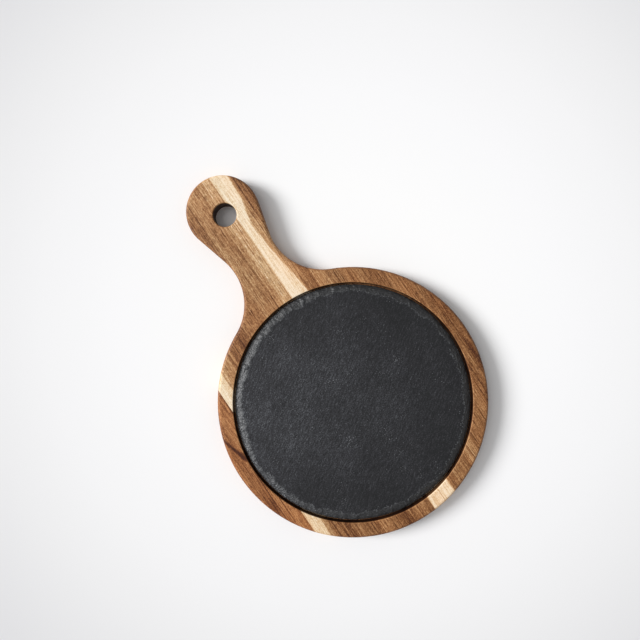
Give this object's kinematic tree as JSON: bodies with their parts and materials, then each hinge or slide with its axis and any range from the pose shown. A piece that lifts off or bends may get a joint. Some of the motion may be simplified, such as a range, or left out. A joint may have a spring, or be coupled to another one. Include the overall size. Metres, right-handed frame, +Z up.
{
  "type": "serving board",
  "caption": "Round wooden serving board with a paddle handle, a hanging hole and a removable slate disc lying in a recess.",
  "frame": {"origin": "on the flat underside of the board, under the middle of its round end", "axes": "+Z up out of the serving face, +Y from the middle of the round end along the handle, +X across to the right as seen from above"},
  "size_m": [0.2286, 0.3401, 0.015],
  "materials": {
    "acacia_outer_left": "oiled acacia heartwood",
    "acacia_left": "oiled acacia with sapwood on its left edge",
    "acacia_middle_left": "oiled acacia heartwood",
    "acacia_middle_right": "oiled acacia, half of it sapwood",
    "acacia_right": "oiled acacia heartwood",
    "acacia_outer_right": "oiled acacia heartwood",
    "slate": "cleft face, hand-chipped rim",
    "pad_foam": "soft foam rubber"
  },
  "bodies": {
    "board": {"stave_outer_left": "acacia_outer_left", "stave_left": "acacia_left", "stave_middle_left": "acacia_middle_left", "stave_middle_right": "acacia_middle_right", "stave_right": "acacia_right", "stave_outer_right": "acacia_outer_right"},
    "slate_insert": {"slate_disc": "slate", "pad_handle_right": "pad_foam", "pad_handle_left": "pad_foam", "pad_far_left": "pad_foam", "pad_far_right": "pad_foam"}
  },
  "joints": [
    {"name": "slate_lift", "type": "slide", "parent": "board", "child": "slate_insert", "axis": [0, 0, 1], "range_m": [0, 0.06]}
  ]
}
